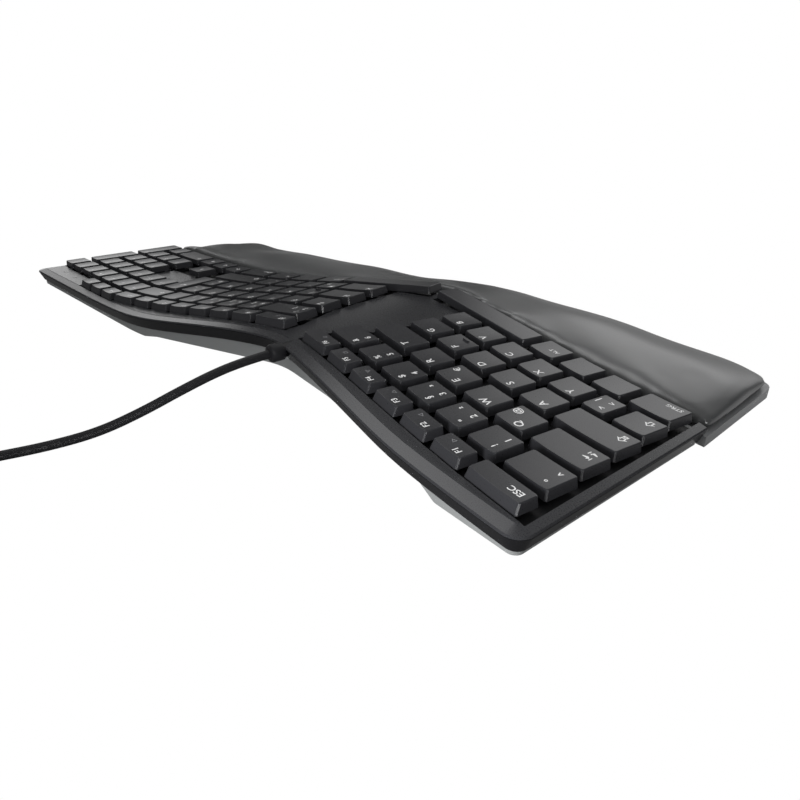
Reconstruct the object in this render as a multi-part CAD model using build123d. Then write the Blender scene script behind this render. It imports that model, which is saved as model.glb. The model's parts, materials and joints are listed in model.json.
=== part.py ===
from build123d import *
import math
import os

# Ergonomic split keyboard with a domed key field and a padded palm rest.
# Millimetres. X runs along the keyboard, +X to the number pad. +Y is the rear, where the cord leaves.
# +Z is up, and the origin is the bottom centre of the keyboard on its rubber feet.

os.makedirs("parts", exist_ok=True)

# Driving sizes of the whole
HALF_WIDTH = 236.5
REAR_Y = 118.0
FRONT_Y = -112.6
PAD_HEIGHT = 1.0

# Crown: the height of the key tops, which depends on X alone
CROWN_BASE = 14.86
CROWN_RISE = 14.59
CROWN_X = -68.25
CROWN_SPREAD = 98.5
CROWN_LEAN = 0.005
CROWN_STEPS = 16

# Depth of each layer below the key tops
DECK_DROP = 3.9
DECK_WALL = 1.9
FLOOR_DROP = 7.2
MEMBRANE_WALL = 0.4
PLATE_WALL = 0.8
BAND_HEIGHT = 6.2
BAND_WIDTH = 3.2
BAND_FOOT = 0.6
RIM_WIDTH = 6.0
RIM_FALL = 0.9
RIM_ROUND = 0.5
RIM_LAP = 0.3
RIM_STEP = 0.1
STATION_STEP = 9.0
STATION_TURN = 15.0
TRAY_WALL = 2.0
FIT_GAP = 0.3

# Keys
PITCH = 19.05
CAP_GAP = 4.45
CAP_DEPTH = 14.3
FUNCTION_CAP_DEPTH = 8.3
SPACE_CAP_DEPTH = 13.2
CAP_DRAFT = 0.5
FUNCTION_REAR_DRAFT = 1.4
CAP_HEIGHT = 4.3
CAP_ROOF = 1.2
CAP_WALL = 1.2
CAP_CORNER = 0.6
CAP_EDGE = 0.35
CAP_DISH = 0.3
WIDEST_DISH = 40.0
PLUNGER_SIDE = 3.6
PLUNGER_LENGTH = 3.4
PLUNGER_GAP = 0.3
DOME_HEIGHT = 3.0
DOME_LIFT = 0.15
DOME_FOOT = 9.0
DOME_TOP = 6.4
FUNCTION_DOME_FOOT = 7.0
BAR_WIDTH = 1.0
BAR_SETBACK = 5.25
BAR_MARGIN = 6.0
BAR_END = 4.0
HOMING_BAR = 4.0
HOMING_WIDTH = 0.8
HOMING_RISE = 0.4
HOMING_SETBACK = 2.4

# Key rows: outer rear corner, heading and row steps
LEFT_ROW_X = (-223.7, -224.7, -225.9, -226.8, -227.8)
LEFT_ROW_Y = (89.2, 70.8, 52.0, 34.0, 15.7)
LEFT_HEADING = -0.152
LEFT_FAN = -0.011
LEFT_FUNCTION_X = -222.3
LEFT_FUNCTION_Y = 101.5
RIGHT_ROW_X = 98.4
RIGHT_ROW_Y = 92.4
RIGHT_ROW_PITCH = 19.0
RIGHT_HEADING = 0.163
RIGHT_FAN = 0.009
RIGHT_FUNCTION_X = 99.8
RIGHT_FUNCTION_Y = 105.3
RIGHT_FUNCTION_HEADING = 0.171
PAD_ROW_X = 231.0
PAD_ROW_Y = 96.5
PAD_HEADING = 0.02
SYSTEM_ROW_Y = 108.0
SYSTEM_ROW_X = 155.9

# Arch under the dome of the key field
ARCH = ((-190.0, 0.0), (-179.0, 6.0), (-118.0, 11.5), (-80.0, 9.6), (36.0, 2.4), (50.0, 0.0))
ARCH_RADII = (4.0, 10.0, 60.0, 120.0, 6.0, 6.0)

# Palm rest
BASE_WALL = 4.6
SEAM_GAP = 0.6
CUSHION_LIP = 0.2
WING_CREST = 2.0
DOME_CREST = 0.6
WING_SETBACK = 18.0
DOME_SETBACK = 8.0
NOSE_REACH = 5.0
WING_NOSE = 5.5
DOME_NOSE = 7.0
END_DROP = 4.0
END_WIDTH = 9.0
END_DRAW = 3.0
CUSHION_STEPS = 12
REST_FRONT = (
    (-236.5, -74.0), (-222.0, -80.0), (-175.0, -92.0), (-122.0, -107.0), (-70.0, FRONT_Y), (-14.0, -99.0),
    (92.0, -82.0), (160.0, -77.0), (236.5, -74.0),
)
REST_CORNER = 10.0

# Tilt feet
FOOT_X = 150.0
FOOT_WIDTH = 44.0
FOOT_LENGTH = 24.0
FOOT_THICKNESS = 2.6
FOOT_HINGE_Y = -40.0
FOOT_CLEARANCE = 0.3
BARREL_RADIUS = 1.7
PIN_RADIUS = 0.8
PIN_CLEARANCE = 0.05
PIN_BITE = 4.0

# Rubber pads and screws
PAD_LENGTH = 26.0
PAD_WIDTH = 9.0
SCREW_HEAD_RADIUS = 2.6
SCREW_HEAD_HEIGHT = 1.2
SCREW_SHANK_RADIUS = 1.3
SCREW_SHANK_LENGTH = 4.0
SCREW_CLEARANCE = 0.1
BOSS_RADIUS = 3.4

# Electronics
BOARD_LENGTH = 46.0
BOARD_WIDTH = 22.0
BOARD_WALL = 1.6
LIGHT_RADIUS = 1.1
LIGHT_CLEARANCE = 0.1
LIGHT_TAIL = 0.3
LIGHT_RISE = 0.1
LIGHT_X = (205.7, 184.1)
LIGHT_Y = 104.8

# Cord
CORD_DIAMETER = 4.0
EXIT_X = -77.0
EXIT_Y = 94.6
EXIT_Z = 19.4
COLLAR_RADIUS = 3.4
COLLAR_LENGTH = 9.6
COLLAR_TAPER = 2.0
COLLAR_TIP_RADIUS = 2.9
COLLAR_CLEARANCE = 0.1
COIL_MEAN_RADIUS = 24.0
COIL_TURN_GAP = 0.5
COIL_HALF_TURNS = 10
COIL_LEAD = 4.0
TAIL_RADIUS = 20.0
TIE_WALL = 0.6
TIE_WIDTH = 7.0
PLUG_WIDTH = 16.0
PLUG_THICKNESS = 8.6
PLUG_LENGTH = 24.0
PLUG_CORNER = 2.0
SHELL_WIDTH = 12.0
SHELL_THICKNESS = 4.5
SHELL_LENGTH = 12.0
SHELL_WALL = 0.35
TONGUE_WIDTH = 10.8
TONGUE_THICKNESS = 1.8
TONGUE_LENGTH = 10.6

# Route of the free stretch of cord, from the collar to the coil
CORD_ROUTE = (
    (EXIT_X, EXIT_Y, EXIT_Z),
    (EXIT_X, 106.0, EXIT_Z),
    (-77.3, 122.0, 17.8),
    (-75.6, 139.0, 13.4),
    (-71.4, 156.0, 7.2),
    (-65.6, 173.0, 3.1),
    (-59.4, 191.0, 2.0),
    (-54.4, 209.0, 2.1),
    (-51.4, 226.0, 2.9),
    (-51.4, 241.0, 2.9),
)


def crown(x):
    bell = math.exp(-(((x - CROWN_X) / CROWN_SPREAD) ** 2))
    return CROWN_BASE + CROWN_LEAN * (x - CROWN_X) + CROWN_RISE * bell


def crown_slope(x):
    bell = math.exp(-(((x - CROWN_X) / CROWN_SPREAD) ** 2))
    return CROWN_LEAN - 2.0 * CROWN_RISE * (x - CROWN_X) / CROWN_SPREAD**2 * bell


MIDDLE_Y = (REAR_Y + FRONT_Y) / 2


def save(shape, name):
    solids = shape.moved(Location((0, -MIDDLE_Y, 0))).solids()
    export_step(solids[0] if len(solids) == 1 else Compound(children=list(solids)), f"parts/{name}.step")
    print(name, len(solids), round(sum(s.volume for s in solids)))


def group(pieces):
    return Compound(children=[solid for piece in pieces for solid in piece.solids()])


# Layers of the crown: slabs between two depths below the key tops, open to both sides in plan
PROFILE_REACH = HALF_WIDTH + 6.0
SLAB_REACH = 150.0


def crown_line(drop):
    points = []
    for step in range(CROWN_STEPS + 1):
        x = -PROFILE_REACH + 2.0 * PROFILE_REACH * step / CROWN_STEPS
        points.append((x, 0.0, crown(x) - drop))
    return Spline(*points)


def arch_line(rise):
    low = PAD_HEIGHT + rise
    points = [(x, 0.0, low + z) for x, z in ARCH]
    return FilletPolyline((-PROFILE_REACH, 0.0, low), *points, (PROFILE_REACH, 0.0, low), radius=list(ARCH_RADII))


def slab(upper, lower):
    sides = [Line(upper @ 0, lower @ 0), Line(upper @ 1, lower @ 1)]
    face = Face(Wire([*upper.edges(), *lower.edges(), *sides]))
    return extrude(face, amount=SLAB_REACH, dir=(0, 1, 0), both=True)


def crown_slab(top_drop, bottom_drop):
    return slab(crown_line(top_drop), crown_line(bottom_drop))


# Plan outlines
LEFT_REAR = (-230.2, 111.6)
LEFT_SEAM = (-HALF_WIDTH, 0.0)
RIGHT_SEAM = (HALF_WIDTH, 1.1)
SEAM_LOW = (-64.0, -36.6)
SEAM_TURN = (104.0, -2.6)
REAR_TURNS = ((-165.0, 106.3), (-66.0, 88.5), (52.0, 113.0))
REAR_RADII = (300.0, 60.0, 250.0)
REAR_CORNER = 7.0
SEAM_RADII = (100.0, 200.0)
PLAN_REACH = 60.0


def side_ends(reach):
    # Front ends of the deck's two side edges, carried on past the seam by the given reach
    lean = (LEFT_REAR[0] - LEFT_SEAM[0]) / (LEFT_REAR[1] - LEFT_SEAM[1])
    return (LEFT_SEAM[0] - lean * reach, LEFT_SEAM[1] - reach), (RIGHT_SEAM[0], RIGHT_SEAM[1] - reach)


def deck_plan(front_reach=0.0):
    rear = (LEFT_REAR, *REAR_TURNS, (HALF_WIDTH, REAR_Y))
    left_end, right_end = side_ends(front_reach)
    radii = [REAR_CORNER, *REAR_RADII, REAR_CORNER]
    rim = FilletPolyline(left_end, *rear, right_end, radius=radii)
    if front_reach:
        return make_face([*rim.edges(), Line(left_end, right_end)])
    seam = FilletPolyline(LEFT_SEAM, SEAM_LOW, SEAM_TURN, RIGHT_SEAM, radius=list(SEAM_RADII))
    return make_face([*rim.edges(), *seam.edges()])


def rest_plan(gap):
    shift = Location((0, -gap, 0))
    seam = FilletPolyline(LEFT_SEAM, SEAM_LOW, SEAM_TURN, RIGHT_SEAM, radius=list(SEAM_RADII)).moved(shift)
    front = Spline(*REST_FRONT)
    sides = [Line(seam @ 0, front @ 0), Line(seam @ 1, front @ 1)]
    plan = make_face([*seam.edges(), *front.edges(), *sides])
    corners = plan.vertices().sort_by(Axis.Y)
    front_corners = [v for v in corners if abs(v.Y - REST_FRONT[0][1]) < 0.01]
    return fillet(front_corners, REST_CORNER)


def column(plan, low=-5.0, high=45.0):
    return extrude(plan.moved(Location((0, 0, low))), amount=high - low, dir=(0, 0, 1))


# Key wells in the deck: one around the left block, one around the right block and the pads
WELL_SIDE_INSET = 4.0
WELL_CLEARANCE = 0.75
LEFT_WELL_EDGE = (
    (-84.2, 52.0), (-92.5, 48.5), (-95.3, 33.5), (-100.5, 12.0), (-101.2, -7.2), (-72.9, -12.6), (-76.6, -52.0),
)
RIGHT_WELL_EDGE = (
    (-60.8, 67.0), (-52.6, 46.0), (-49.8, 26.0), (-46.9, -10.4), (-68.6, -14.4), (-62.5, -52.0),
)
LEFT_WELL_END = -260.0
LEFT_WELL_CORNER = -76.1
RIGHT_WELL_CORNER = -62.6
PAD_WELL_REAR = 98.6
PAD_WELL_LEFT = 158.0
PAD_WELL_RIGHT = 232.9
WELL_FRONT = -52.0


def behind_row(x, start, heading):
    # Rear wall of a well, a clearance behind the skirts of a row of function keys
    y = start[1] + (x - start[0]) * math.tan(heading)
    return x, y + (FUNCTION_REAR_DRAFT + WELL_CLEARANCE) / math.cos(heading)


def well_plans():
    inner = offset(deck_plan(PLAN_REACH), amount=-WELL_SIDE_INSET, kind=Kind.ARC)
    left_row = ((LEFT_FUNCTION_X, LEFT_FUNCTION_Y), LEFT_HEADING)
    right_row = ((RIGHT_FUNCTION_X, RIGHT_FUNCTION_Y), RIGHT_FUNCTION_HEADING)
    system_row = ((SYSTEM_ROW_X, SYSTEM_ROW_Y), PAD_HEADING)
    left_rear = (behind_row(LEFT_WELL_END, *left_row), behind_row(LEFT_WELL_CORNER, *left_row))
    left = make_face(Polyline(*left_rear, *LEFT_WELL_EDGE, (LEFT_WELL_END, WELL_FRONT), close=True))
    right_outline = (
        behind_row(RIGHT_WELL_CORNER, *right_row), *RIGHT_WELL_EDGE, (PAD_WELL_RIGHT, WELL_FRONT),
        (PAD_WELL_RIGHT, PAD_WELL_REAR), (PAD_WELL_LEFT, PAD_WELL_REAR), behind_row(PAD_WELL_LEFT, *system_row),
        behind_row(RIGHT_FUNCTION_X, *system_row), behind_row(RIGHT_FUNCTION_X, *right_row),
    )
    right = make_face(Polyline(*right_outline, close=True))
    return [inner & left, right]


# Placement of keys on the crown
def seat(x, y, heading):
    slope = crown_slope(x)
    along = Vector(math.cos(heading), math.sin(heading), slope * math.cos(heading))
    return Plane(origin=(x, y, crown(x)), x_dir=along, z_dir=(-slope, 0, 1))


def chamfered(width, depth, shift=0.0, corner=CAP_CORNER):
    w = width / 2
    d = depth / 2
    return Polyline(
        (-w + corner, -d + shift), (w - corner, -d + shift), (w, -d + corner + shift), (w, d - corner + shift),
        (w - corner, d + shift), (-w + corner, d + shift), (-w, d - corner + shift), (-w, -d + corner + shift),
        close=True,
    )


def cap(width, depth, rear_draft=CAP_DRAFT, homing=False):
    skirt_shift = (rear_draft - CAP_DRAFT) / 2
    skirt_depth = depth + CAP_DRAFT + rear_draft
    skirt_width = width + 2 * CAP_DRAFT
    roof = make_face(chamfered(width - 2 * CAP_EDGE, depth - 2 * CAP_EDGE))
    shoulder = make_face(chamfered(width, depth)).moved(Location((0, 0, -CAP_EDGE)))
    skirt = make_face(chamfered(skirt_width, skirt_depth, skirt_shift)).moved(Location((0, 0, -CAP_HEIGHT)))
    body = loft([roof, shoulder], ruled=True) + loft([shoulder, skirt], ruled=True)
    if width < WIDEST_DISH:
        scoop_radius = width**2 / (8 * CAP_DISH)
        body -= Pos(0, 0, scoop_radius - CAP_DISH) * Rot(90, 0, 0) * Cylinder(scoop_radius, 2 * depth)
    cavity_height = CAP_HEIGHT - CAP_ROOF
    cavity = Box(width - CAP_WALL, depth - CAP_WALL, cavity_height)
    cavity = Pos(0, 0, -CAP_ROOF - cavity_height / 2) * cavity
    plunger = Pos(0, 0, -CAP_ROOF - PLUNGER_LENGTH / 2) * Box(PLUNGER_SIDE, PLUNGER_SIDE, PLUNGER_LENGTH)
    body = body - cavity + plunger
    if homing:
        bar_y = HOMING_SETBACK - depth / 2
        body += Pos(0, bar_y, 0) * Box(HOMING_BAR, HOMING_WIDTH, 2 * HOMING_RISE)
    return body


def dome(foot):
    base = Rectangle(foot, foot)
    top = Pos(0, 0, DOME_HEIGHT) * Rectangle(DOME_TOP, DOME_TOP)
    ring = loft([base.face(), top.face()], ruled=True)
    hole = PLUNGER_SIDE + 2 * PLUNGER_GAP
    return Pos(0, 0, DOME_LIFT - FLOOR_DROP) * (ring - Pos(0, 0, DOME_HEIGHT / 2) * Box(hole, hole, DOME_HEIGHT))


def stabilizer(width):
    length = width - BAR_MARGIN
    bar = Pos(0, -BAR_SETBACK, 0) * Box(length, BAR_WIDTH, BAR_WIDTH)
    for side in (-1, 1):
        x = side * (length - BAR_WIDTH) / 2
        bar += Pos(x, -BAR_SETBACK + BAR_END / 2, 0) * Box(BAR_WIDTH, BAR_END, BAR_WIDTH)
    return Pos(0, 0, DOME_LIFT - FLOOR_DROP + BAR_WIDTH / 2) * bar


# Rows of keys: each entry is the node of the key, its width in key units and, on the home keys, a bar
keys = {}
domes = []
bars = []


def place_key(node, plane, width, depth, rear_draft=CAP_DRAFT, homing=False, wide=False):
    keys.setdefault(node, []).append(plane.location * cap(width, depth, rear_draft, homing))
    foot = FUNCTION_DOME_FOOT if depth < DOME_FOOT else DOME_FOOT
    domes.append(plane.location * dome(foot))
    if wide:
        turn = Rot(0, 0, -90) if depth > width else Rot(0, 0, 0)
        bars.append(plane.location * turn * stabilizer(max(width, depth)))


def row(start, heading, entries, side, depth=CAP_DEPTH, rear_draft=CAP_DRAFT):
    x, y = start
    for node, units, *marks in entries:
        width = units * PITCH - CAP_GAP
        key_depth = SPACE_CAP_DEPTH if "space" in node else depth
        half = side * width / 2
        cx = x + half * math.cos(heading) + key_depth / 2 * math.sin(heading)
        cy = y + half * math.sin(heading) - key_depth / 2 * math.cos(heading)
        place_key(node, seat(cx, cy, heading), width, key_depth, rear_draft, "home" in marks, "bar" in marks)
        x += side * units * PITCH * math.cos(heading)
        y += side * units * PITCH * math.sin(heading)


def repeat(node, count, units=1.0):
    return [(node, units)] * count


LEFT_ROWS = (
    [*repeat("number_keys_left", 1, 1.28), *repeat("number_keys_left", 5), ("number_keys_left", 1.3)],
    [("tab_key", 1.52), *repeat("upper_letters_left", 4), ("upper_letters_left", 1.6)],
    [("caps_lock_key", 1.8), *repeat("home_letters_left", 3), ("home_letters_left", 1.0, "home"),
     ("home_letters_left", 1.15)],
    [("left_shift_key", 1.0), ("lower_letters_left", 0.81), *repeat("lower_letters_left", 4),
     ("lower_letters_left", 1.03)],
    [("left_control_key", 1.27), *repeat("modifier_keys_left", 3, 1.03), ("left_space_bar", 4.03, "bar")],
)
RIGHT_ROWS = (
    [("backspace_key", 1.52, "bar"), *repeat("number_keys_right", 5), ("number_keys_right", 1.8)],
    [*repeat("upper_letters_right", 6), ("upper_letters_right", 1.07)],
    [("home_letters_right", 0.82), *repeat("home_letters_right", 4), ("home_letters_right", 1.0, "home"),
     ("home_letters_right", 1.46)],
    [("right_shift_key", 2.25, "bar"), *repeat("lower_letters_right", 4), ("lower_letters_right", 1.58)],
    [("right_control_key", 1.5), *repeat("modifier_keys_right", 3, 1.26), ("right_space_bar", 3.67, "bar")],
)
RIGHT_STARTS = (97.4, 78.4, 84.7, 98.4, 96.6)
ENTER_ROW = 1
ENTER_X = 97.2
ENTER_UNITS = 0.927
ENTER_DEPTH = CAP_DEPTH + PITCH


def left_block():
    function_row = [("escape_key", 1.5), *repeat("function_keys_left", 5), ("function_keys_left", 1.3)]
    row((LEFT_FUNCTION_X, LEFT_FUNCTION_Y), LEFT_HEADING, function_row, 1, FUNCTION_CAP_DEPTH, FUNCTION_REAR_DRAFT)
    for index, entries in enumerate(LEFT_ROWS):
        heading = LEFT_HEADING + LEFT_FAN * index
        row((LEFT_ROW_X[index], LEFT_ROW_Y[index]), heading, entries, 1)


def right_block():
    function_row = [("system_keys", 1.25), ("system_keys", 1.02), *repeat("function_keys_right", 5, 1.02),
                    ("function_keys_right", 1.35)]
    start = (RIGHT_FUNCTION_X, RIGHT_FUNCTION_Y)
    row(start, RIGHT_FUNCTION_HEADING, function_row, -1, FUNCTION_CAP_DEPTH, FUNCTION_REAR_DRAFT)
    for index, entries in enumerate(RIGHT_ROWS):
        heading = RIGHT_HEADING + RIGHT_FAN * index
        x = RIGHT_STARTS[index]
        y = RIGHT_ROW_Y - RIGHT_ROW_PITCH * index + (x - RIGHT_ROW_X) * math.tan(heading)
        row((x, y), heading, entries, -1)
    heading = RIGHT_HEADING + RIGHT_FAN * ENTER_ROW
    enter_y = RIGHT_ROW_Y - RIGHT_ROW_PITCH * ENTER_ROW
    row((ENTER_X, enter_y), heading, [("enter_key", ENTER_UNITS, "bar")], -1, ENTER_DEPTH)


def pad_key(node, column_index, row_index, columns=1, rows=1, depth=CAP_DEPTH, wide=False):
    width = columns * PITCH - CAP_GAP
    key_depth = depth + (rows - 1) * PITCH
    x = PAD_ROW_X - PITCH * column_index - width / 2
    y = PAD_ROW_Y - PITCH * (column_index + (columns - 1) / 2) * PAD_HEADING - PITCH * row_index - key_depth / 2
    place_key(node, seat(x, y, PAD_HEADING), width, key_depth, wide=wide)


def number_pad():
    for index in (1, 2, 3):
        pad_key("number_pad_top_row", index, 0)
        pad_key("number_pad_seven_to_nine", index, 1)
        pad_key("number_pad_four_to_six", index, 2)
        pad_key("number_pad_lower_keys", index, 3)
    pad_key("number_pad_top_row", 0, 0)
    pad_key("number_pad_plus_key", 0, 1, rows=2, wide=True)
    pad_key("number_pad_enter_key", 0, 3, rows=2, wide=True)
    pad_key("number_pad_lower_keys", 1, 4)
    pad_key("number_pad_zero_key", 2, 4, columns=2, wide=True)
    for index in (4, 5, 6):
        pad_key("navigation_keys", index, 0)
        pad_key("navigation_keys", index, 1)
    for name, index in (("right_arrow_key", 4), ("down_arrow_key", 5), ("left_arrow_key", 6)):
        pad_key(name, index, 4)
    pad_key("up_arrow_key", 5, 3)
    row((SYSTEM_ROW_X, SYSTEM_ROW_Y), PAD_HEADING, repeat("system_keys", 3), -1, FUNCTION_CAP_DEPTH,
        FUNCTION_REAR_DRAFT)


# Housing
def collar_hole(clearance):
    radius = COLLAR_RADIUS + clearance
    return Pos(EXIT_X, EXIT_Y - COLLAR_LENGTH, EXIT_Z) * Rot(-90, 0, 0) * Cylinder(
        radius, COLLAR_LENGTH + 6, align=(Align.CENTER, Align.CENTER, Align.MIN))


def rear_of_seam():
    seam = FilletPolyline(LEFT_SEAM, SEAM_LOW, SEAM_TURN, RIGHT_SEAM, radius=list(SEAM_RADII))
    far = HALF_WIDTH + PLAN_REACH
    around = Polyline(RIGHT_SEAM, (far, RIGHT_SEAM[1]), (far, SLAB_REACH), (-far, SLAB_REACH), (-far, 0), LEFT_SEAM)
    return column(make_face([*seam.edges(), *around.edges()]))


def rim_stations():
    # Points along the sides and the rear of the deck, with the direction of the edge at each
    outline = (LEFT_REAR, *REAR_TURNS, (HALF_WIDTH, REAR_Y))
    left_end, right_end = side_ends(RIM_WIDTH)
    edges = Wire(FilletPolyline(left_end, *outline, right_end, radius=[REAR_CORNER, *REAR_RADII, REAR_CORNER]))
    stations = []
    for edge in edges.order_edges():
        turn = (edge % 0).get_angle(edge % 1)
        count = math.ceil(max(edge.length / STATION_STEP, turn / STATION_TURN, 1))
        stations += [(edge @ (step / count), edge % (step / count)) for step in range(count)]
    return [*stations, (edge @ 1, edge % 1)]


def along_rim(profile):
    # A ring of the given profile: each point is its distance in from the edge and its depth below the key tops
    sections = []
    for point, heading in rim_stations():
        inward = Vector(heading.Y, -heading.X, 0)
        corners = []
        for inset, drop in profile:
            place = point + inward * inset
            corners.append((place.X, place.Y, crown(place.X) - drop))
        sections.append(make_face(Polyline(*corners, close=True)))
    return loft(sections, ruled=True) & rear_of_seam()


def make_deck():
    bottom = DECK_DROP + DECK_WALL
    middle = offset(deck_plan(PLAN_REACH), amount=RIM_LAP - RIM_WIDTH, kind=Kind.ARC) & deck_plan()
    deck = column(middle) & crown_slab(DECK_DROP, bottom)
    crest = DECK_DROP + RIM_STEP
    edge = crest + RIM_FALL
    deck += along_rim((
        (0, bottom - RIM_STEP), (0, edge + RIM_ROUND), (RIM_ROUND, edge), (RIM_WIDTH, crest),
        (RIM_WIDTH, bottom - RIM_STEP),
    ))
    for plan in well_plans():
        deck -= column(plan)
    for x in LIGHT_X:
        deck -= Pos(x, LIGHT_Y, crown(x) - DECK_DROP) * Cylinder(LIGHT_RADIUS + LIGHT_CLEARANCE, 6)
    return deck


def make_lights():
    length = DECK_WALL + LIGHT_TAIL
    lights = []
    for x in LIGHT_X:
        z = crown(x) - DECK_DROP - length / 2 + LIGHT_RISE
        lights.append(Pos(x, LIGHT_Y, z) * Cylinder(LIGHT_RADIUS, length))
    return group(lights)


def make_band():
    # The wall leans in towards its foot, and its top stays just under the deck
    top = DECK_DROP + DECK_WALL + RIM_STEP
    foot = top + BAND_HEIGHT
    band = along_rim(((0, top), (BAND_WIDTH, top), (BAND_WIDTH, foot), (BAND_WIDTH - BAND_FOOT, foot)))
    return band - collar_hole(COLLAR_CLEARANCE)


def tray_block(inset, seam_inset, upper, lower):
    plan = offset(deck_plan(PLAN_REACH), amount=-inset, kind=Kind.ARC)
    plan &= offset(deck_plan(), amount=-seam_inset, kind=Kind.ARC)
    return column(plan) & slab(upper, lower)


TRAY_INSET = BAND_WIDTH + FIT_GAP
PLATE_INSET = TRAY_INSET + TRAY_WALL + FIT_GAP
TRAY_TOP = FLOOR_DROP
PLATE_TOP = FLOOR_DROP + MEMBRANE_WALL
PLATE_BOTTOM = PLATE_TOP + PLATE_WALL
BOSS_PLACES = ((-212.0, 84.0), (-212.0, 20.0), (-60.0, 66.0), (-60.0, -8.0), (96.0, 88.0), (96.0, 14.0),
               (216.0, 104.0), (216.0, 14.0))


def floor_height(x):
    xs = [-PROFILE_REACH, *[p[0] for p in ARCH], PROFILE_REACH]
    zs = [0.0, *[p[1] for p in ARCH], 0.0]
    for left, right, low, high in zip(xs, xs[1:], zs, zs[1:]):
        if x <= right:
            return PAD_HEIGHT + low + (high - low) * (x - left) / (right - left)
    return PAD_HEIGHT


def upright(radius, low, high):
    return Pos(0, 0, (low + high) / 2) * Cylinder(radius, high - low)


def make_tray():
    tray = tray_block(TRAY_INSET, SEAM_GAP, crown_line(TRAY_TOP), arch_line(0.0))
    inset = TRAY_INSET + TRAY_WALL
    tray -= tray_block(inset, SEAM_GAP + TRAY_WALL, crown_line(TRAY_TOP - 2.0), arch_line(TRAY_WALL))
    tray += make_bosses()
    for x, y in BOSS_PLACES:
        low = floor_height(x)
        tray -= Pos(x, y, 0) * upright(SCREW_HEAD_RADIUS + SCREW_CLEARANCE, low - 4.0, low + SCREW_HEAD_HEIGHT)
        shank = SCREW_SHANK_RADIUS + SCREW_CLEARANCE
        tray -= Pos(x, y, 0) * upright(shank, low, low + SCREW_HEAD_HEIGHT + SCREW_SHANK_LENGTH + 0.3)
    return tray - collar_hole(COLLAR_CLEARANCE)


def make_bosses():
    posts = group([Pos(x, y, 0) * upright(BOSS_RADIUS, 0.0, 45.0) for x, y in BOSS_PLACES])
    return posts & slab(crown_line(PLATE_BOTTOM), arch_line(TRAY_WALL / 2))


def make_screws():
    screws = []
    for x, y in BOSS_PLACES:
        low = floor_height(x)
        top = low + SCREW_HEAD_HEIGHT
        head = upright(SCREW_HEAD_RADIUS, low + 0.2, top)
        shank = upright(SCREW_SHANK_RADIUS, top - 0.1, top + SCREW_SHANK_LENGTH)
        screws.append(Pos(x, y, 0) * (head + shank))
    return group(screws)


def inner_plan():
    plan = offset(deck_plan(PLAN_REACH), amount=-PLATE_INSET, kind=Kind.ARC)
    return plan & offset(deck_plan(), amount=-(SEAM_GAP + TRAY_WALL + FIT_GAP), kind=Kind.ARC)


def make_plate():
    return column(inner_plan()) & crown_slab(PLATE_TOP, PLATE_BOTTOM)


def make_membrane():
    return column(inner_plan()) & crown_slab(FLOOR_DROP, PLATE_TOP)


# Raised bare panel between the navigation keys and the arrows
PANEL_WIDTH = 48.4
PANEL_DEPTH = 16.6
PANEL_RISE = 0.3
PANEL_LIFT = 0.1


def make_panel():
    x = PAD_ROW_X - PITCH * 4 - PANEL_WIDTH / 2 - CAP_GAP / 2 + FIT_GAP
    y = PAD_ROW_Y - PITCH * 2 - CAP_DEPTH / 2 - PITCH * 5 * PAD_HEADING
    outline = column(Pos(x, y) * RectangleRounded(PANEL_WIDTH, PANEL_DEPTH, 1.5).face())
    return outline & crown_slab(DECK_DROP - PANEL_RISE, FLOOR_DROP - PANEL_LIFT)


BOARD_X = -20.0
BOARD_Y = 70.0


def make_board():
    z = crown(BOARD_X) - PLATE_BOTTOM - 6.0
    board = Pos(BOARD_X, BOARD_Y, z) * Box(BOARD_LENGTH, BOARD_WIDTH, BOARD_WALL)
    chip = Pos(BOARD_X + 4, BOARD_Y, z + BOARD_WALL / 2 + 0.5) * Box(9, 9, 1.0)
    socket = Pos(BOARD_X - 15, BOARD_Y + 6, z + BOARD_WALL / 2 + 1.5) * Box(10, 6, 3.0)
    return board + chip + socket


def board_posts():
    z = crown(BOARD_X) - PLATE_BOTTOM - 6.0 - BOARD_WALL / 2
    posts = []
    for side in (-1, 1):
        x = BOARD_X + side * (BOARD_LENGTH / 2 - 3)
        posts.append(Pos(x, BOARD_Y, 0) * upright(2.4, floor_height(x) + TRAY_WALL / 2, z))
    return group(posts)


# Palm rest
def dome_share(x):
    return max(0.0, (crown(x) - crown(HALF_WIDTH)) / (crown(CROWN_X) - crown(HALF_WIDTH)))


def seam_height(x):
    points = (LEFT_SEAM, SEAM_LOW, SEAM_TURN, RIGHT_SEAM)
    for (x0, y0), (x1, y1) in zip(points, points[1:]):
        if x <= x1:
            return y0 + (y1 - y0) * (x - x0) / (x1 - x0)
    return RIGHT_SEAM[1]


def cushion_section(x, front, drop, draw):
    share = dome_share(x)
    low = PAD_HEIGHT + BASE_WALL
    rear = seam_height(x) + 8.0 - draw
    lip_y = seam_height(x) - SEAM_GAP - draw
    lip = crown(x) + CUSHION_LIP - drop
    crest = lip + WING_CREST + (DOME_CREST - WING_CREST) * share
    crest_y = lip_y - (WING_SETBACK + (DOME_SETBACK - WING_SETBACK) * share)
    nose = low + WING_NOSE + (DOME_NOSE - WING_NOSE) * share - drop / 4
    edge = front + draw + 0.6
    foot = (x, edge, low)
    brow = (x, edge + NOSE_REACH, nose)
    middle = (x, edge + NOSE_REACH * 0.22, low + (nose - low) * 0.66)
    top = (x, crest_y, crest)
    back = (x, rear, lip)
    edges = [
        Line((x, rear, low), back),
        TangentArc(top, back, tangent=(0, 1, 0)),
        TangentArc(top, brow, tangent=(0, -1, 0)),
        ThreePointArc(brow, middle, foot),
        Line(foot, (x, rear, low)),
    ]
    return Face(Wire(edges))


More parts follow.
